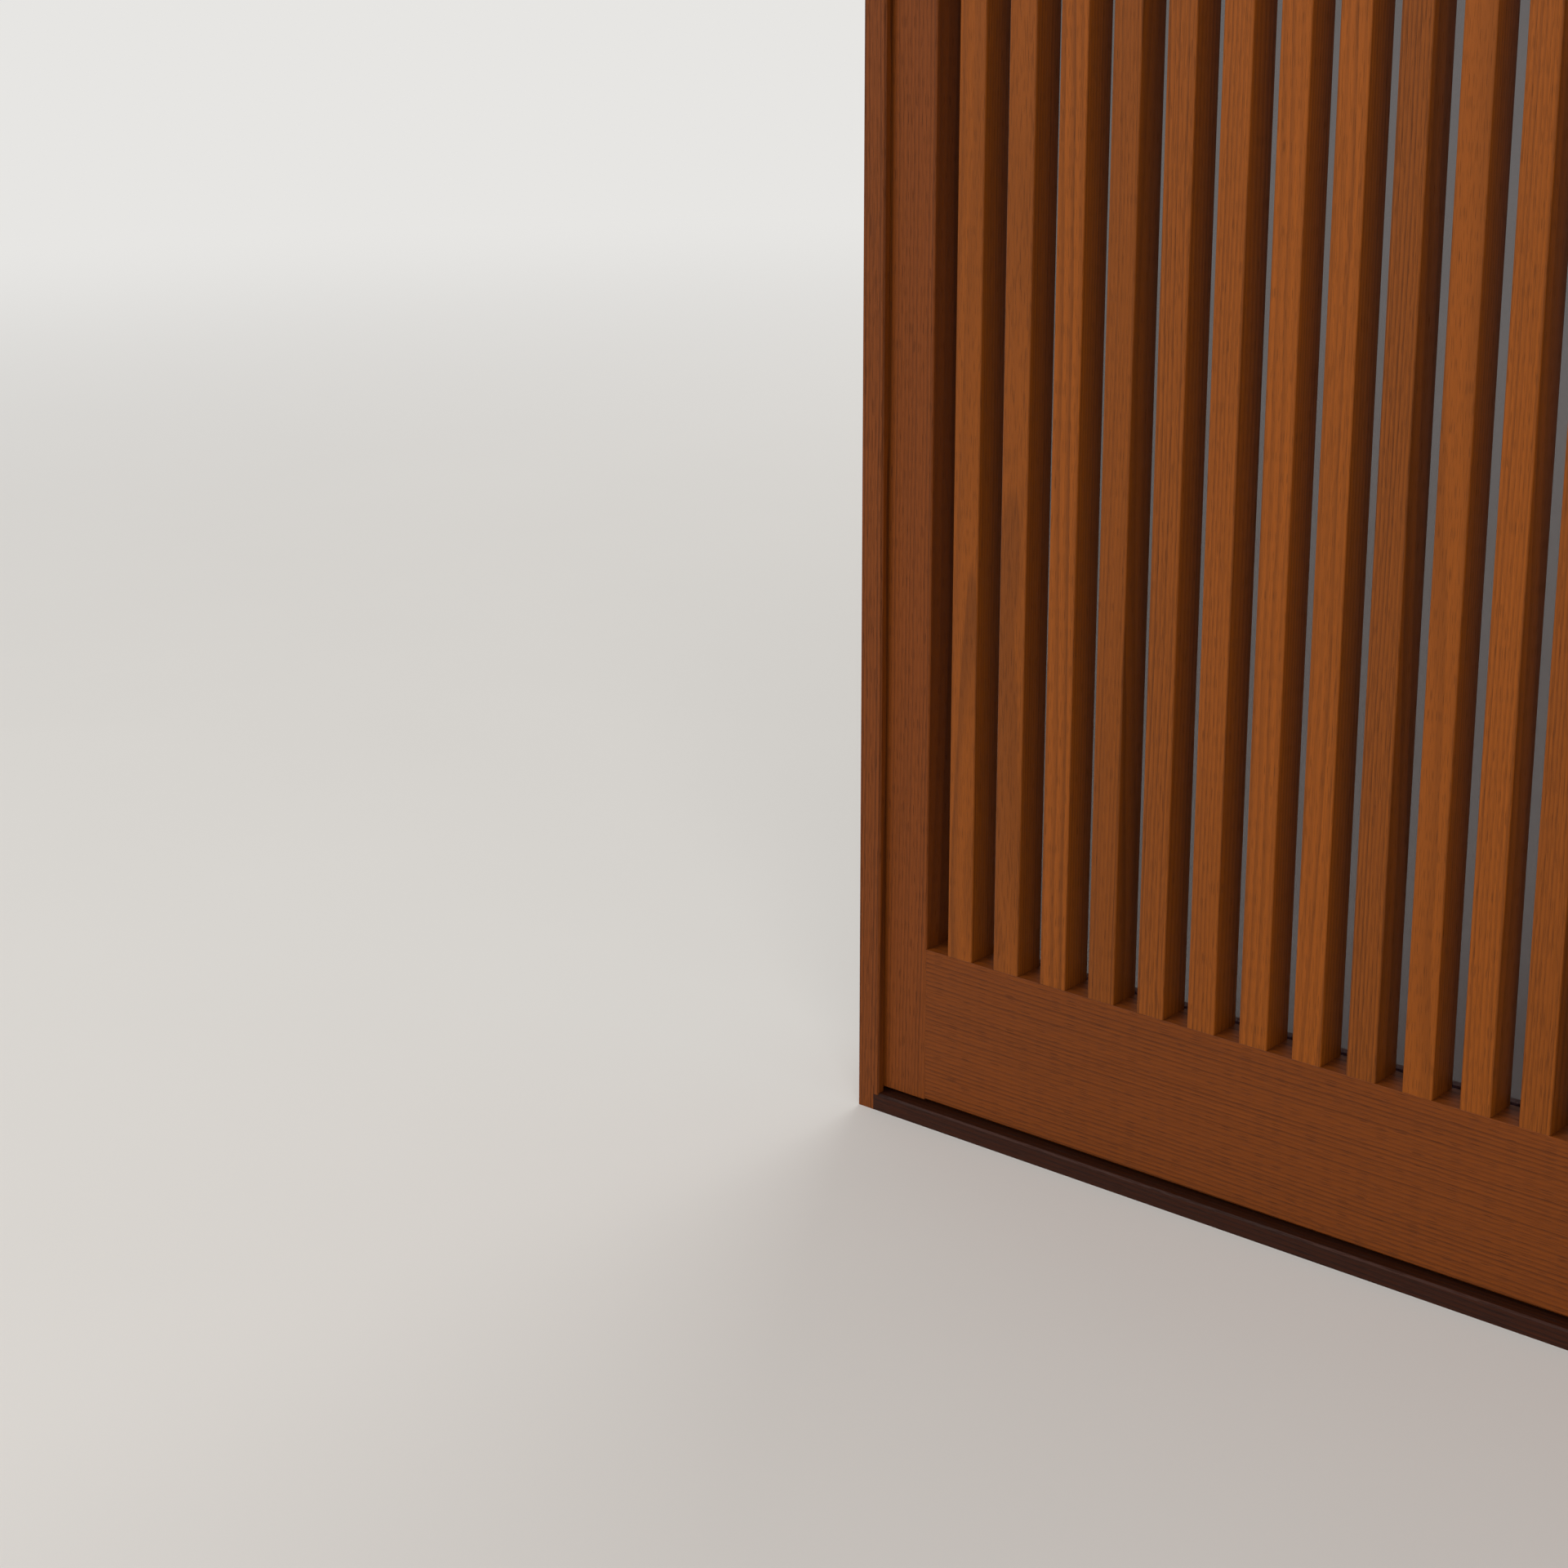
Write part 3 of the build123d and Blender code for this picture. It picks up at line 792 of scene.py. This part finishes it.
class SCREEN_OT_frame_screws(bpy.types.Operator):
    """Cut threads and cross recesses on the screws that join the frame"""

    bl_idname = "screen.frame_screws"
    bl_label = "Frame screws"

    def execute(self, context):
        hardware = context.scene.screen_hardware
        crown = hardware.flat_crown
        head = hardware.frame_screw_head - crown
        sizes = (head, hardware.frame_screw_shank, hardware.frame_screw_length - crown)
        low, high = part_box("frame_screws")
        screws = []
        for side, x in ((-1, low.x + crown), (1, high.x - crown)):
            inwards = Matrix.Rotation(math.radians(-90 * side), 4, "Y")
            for z in (middle("sill").z, middle("head").z):
                cross_angle = 0.6 * side + z
                spin = Matrix.Rotation(cross_angle, 4, "Z")
                place = Matrix.Translation((x, middle("sill").y, z)) @ inwards @ spin
                screws.append(threaded_screw(place, *sizes, crown, hardware.recess_depth))
        steel = bpy.data.materials["plated_steel"]
        make_piece("frame_screws_cut", screws, "frame", steel, ["frame_screws"])
        return {"FINISHED"}


class SCREEN_OT_stage(bpy.types.Operator):
    """Set the plain floor, the soft lamps and the camera"""

    bl_idname = "screen.stage"
    bl_label = "Stage"

    def execute(self, context):
        stage = context.scene.screen_stage
        self.lay_floor(context, stage)
        self.light_world(context, stage)
        for name, (place, target, size) in LAMPS.items():
            watts = getattr(stage, f"{name}_power")
            self.hang_lamp(context, f"{name}_lamp", place, target, size, watts)
        self.set_camera(context, stage)
        context.scene.view_settings.view_transform = "Standard"
        return {"FINISHED"}

    def lay_floor(self, context, stage):
        """A level square at the screen's foot, which fades into the backdrop with the distance."""
        reach, fade_start, fade_end = 30.0, 1.6, 6.5
        signs = np.array([(-1, -1, 0), (1, -1, 0), (1, 1, 0), (-1, 1, 0)])
        mesh = bpy.data.meshes.new("floor")
        mesh.from_pydata(signs * reach, [], [(0, 1, 2, 3)])
        finish = Finish("pale_floor")
        speck = finish.noise(finish.place(), scale=3.0, detail=3.0)
        base = finish.mix(speck, rgba(stage.floor_colour, 0.985), rgba(stage.floor_colour, 1.015))
        mesh.materials.append(finish.coat(Base_Color=base, Roughness=0.85 + speck * 0.05))
        away = finish.vector("LENGTH", finish.place(), output="Value")
        backdrop = finish.node("ShaderNodeEmission", None, {"Color": rgba(stage.sky_colour)})
        bare = Field(finish, finish.surface.outputs[0])
        factor = away.rise(fade_start, fade_end) * finish.in_view()
        mixed = finish.node("ShaderNodeMixShader", None, {0: factor, 1: bare, 2: backdrop})
        finish.fill(finish.tree.nodes["Material Output"].inputs["Surface"], mixed)
        floor = bpy.data.objects.new("floor", mesh)
        context.scene.collection.objects.link(floor)

    def light_world(self, context, stage):
        """Even light from all around, and a pale backdrop for the camera, gloss and glass."""
        world = bpy.data.worlds.new("surroundings")
        world.use_nodes = True
        context.scene.world = world
        nodes = Nodes(world.node_tree)
        background = nodes.tree.nodes["Background"]
        strengths = {0: nodes.in_view(), 2: stage.sky_strength, 3: 1.0}
        strength = nodes.node("ShaderNodeMix", None, strengths)
        nodes.fill(background.inputs["Color"], rgba(stage.sky_colour))
        nodes.fill(background.inputs["Strength"], strength)

    def hang_lamp(self, context, name, place, target, size, watts):
        """A square soft lamp that faces a target."""
        light = bpy.data.lights.new(name, "AREA")
        light.size = size
        light.energy = watts
        lamp = bpy.data.objects.new(name, light)
        lamp.location = place
        lamp.rotation_euler = (Vector(target) - Vector(place)).to_track_quat("-Z", "Y").to_euler()
        context.scene.collection.objects.link(lamp)

    def set_camera(self, context, stage):
        """A camera turned by yaw about Z, tilted down, and rolled about its line of sight."""
        data = bpy.data.cameras.new("camera")
        data.sensor_fit = "HORIZONTAL"
        data.sensor_width = 36.0
        data.lens = stage.lens
        data.shift_y = stage.shift
        data.clip_end = 200.0
        camera = bpy.data.objects.new("camera", data)
        turned = Matrix.Rotation(stage.yaw, 4, "Z")
        tilted = Matrix.Rotation(math.radians(90) - stage.pitch, 4, "X")
        rolled = Matrix.Rotation(stage.roll, 4, "Z")
        camera.matrix_world = Matrix.Translation(stage.eye) @ turned @ tilted @ rolled
        context.scene.collection.objects.link(camera)
        context.scene.camera = camera


class SCREEN_PT_panel(bpy.types.Panel):
    """Lists the screen's pieces and what may be changed"""

    bl_label = "Sliding lattice screen"
    bl_idname = "SCREEN_PT_panel"
    bl_space_type = "VIEW_3D"
    bl_region_type = "UI"
    bl_category = "Screen"

    def draw(self, context):
        layout = self.layout
        for operator in OPERATORS:
            layout.operator(operator.bl_idname)
        for name in PROPERTY_GROUPS:
            group = getattr(context.scene, name)
            column = layout.column(align=True)
            for field in group.__annotations__:
                column.prop(group, field)


OPERATORS = (
    SCREEN_OT_slats,
    SCREEN_OT_leaf_frames,
    SCREEN_OT_frame_boards,
    SCREEN_OT_panes,
    SCREEN_OT_tracks,
    SCREEN_OT_sheaves,
    SCREEN_OT_frame_screws,
    SCREEN_OT_stage,
)
PROPERTY_GROUPS = {
    "screen_wood": ScreenWood,
    "screen_hardware": ScreenHardware,
    "screen_stage": ScreenStage,
}


def register():
    for group in (*PROPERTY_GROUPS.values(), *OPERATORS, SCREEN_PT_panel):
        bpy.utils.register_class(group)
    for name, group in PROPERTY_GROUPS.items():
        setattr(bpy.types.Scene, name, bpy.props.PointerProperty(type=group))


def unregister():
    for name in PROPERTY_GROUPS:
        delattr(bpy.types.Scene, name)
    for group in (SCREEN_PT_panel, *reversed(OPERATORS), *PROPERTY_GROUPS.values()):
        bpy.utils.unregister_class(group)


def main():
    """Dresses the whole screen."""
    register()
    for operator in OPERATORS:
        group, name = operator.bl_idname.split(".")
        getattr(getattr(bpy.ops, group), name)()


if __name__ == "__main__":
    main()
